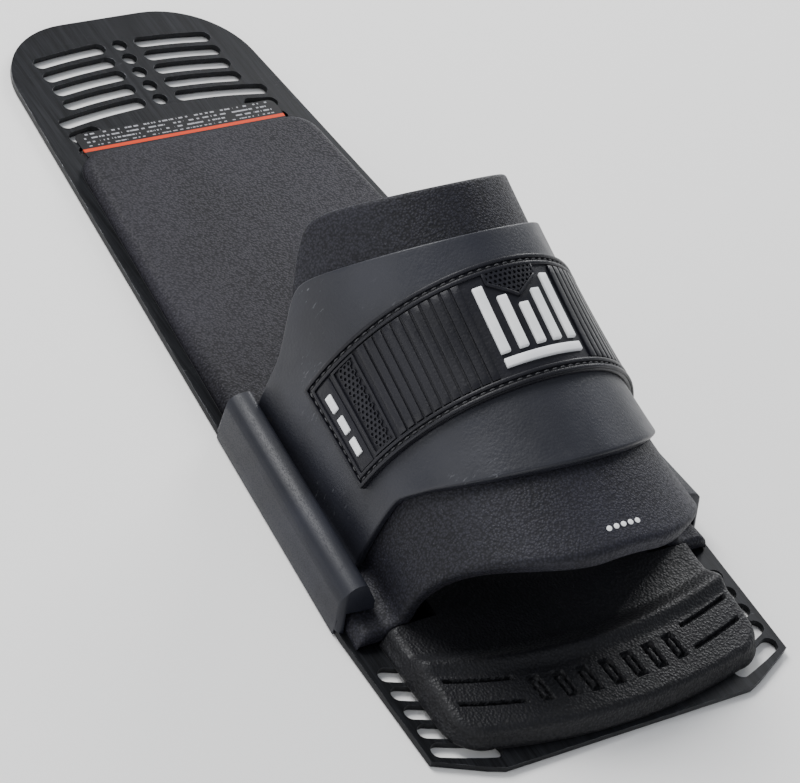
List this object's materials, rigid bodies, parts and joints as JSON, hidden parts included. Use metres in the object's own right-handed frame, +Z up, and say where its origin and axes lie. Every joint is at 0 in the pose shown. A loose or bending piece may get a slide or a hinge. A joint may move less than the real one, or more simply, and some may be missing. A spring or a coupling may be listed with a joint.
{
  "type": "water ski rear toe plate binding",
  "caption": "Slotted flat metal plate with foam heel and toe pads and an arched foam and rubber foot overlay clamped by two side brackets.",
  "frame": {"origin": "centre of the plate's underside", "axes": "+Y along the plate towards its heel end, +X across it, +Z up"},
  "size_m": [0.1562, 0.39, 0.1069],
  "materials": {
    "plate_aluminium": "black anodised, brushed along the plate",
    "heel_foam": "closed-cell EVA foam with a fine pressed grain",
    "toe_foam": "moulded EVA foam with a coarse pebble grain",
    "adhesive": "clear double-sided film",
    "label_film": "printed film, black with an orange line",
    "overlay_foam": "closed-cell EVA foam with a fine grain",
    "overlay_rubber": "smooth satin rubber sheet",
    "strap_rubber": "moulded satin rubber",
    "thread": "bonded polyester thread",
    "white_mark": "white moulded rubber and print",
    "bracket_plastic": "black glass-filled nylon, fine matt grain",
    "insert_brass": "turned and knurled",
    "screw_steel": "stainless steel"
  },
  "bodies": {
    "root": {"base_plate": "plate_aluminium", "heel_pad": "heel_foam", "heel_pad_adhesive": "adhesive", "toe_pad": "toe_foam", "toe_pad_adhesive": "adhesive", "label_strip": "label_film", "foam_overlay": "overlay_foam", "rubber_overlay": "overlay_rubber", "strap_band": "strap_rubber", "strap_stitching": "thread", "strap_emblem": "white_mark", "left_strap_mark": "white_mark", "right_strap_mark": "white_mark", "size_mark": "white_mark", "left_bracket": "bracket_plastic", "right_bracket": "bracket_plastic", "left_bracket_inserts": "insert_brass", "right_bracket_inserts": "insert_brass", "left_bracket_screws": "screw_steel", "right_bracket_screws": "screw_steel"}
  },
  "joints": []
}
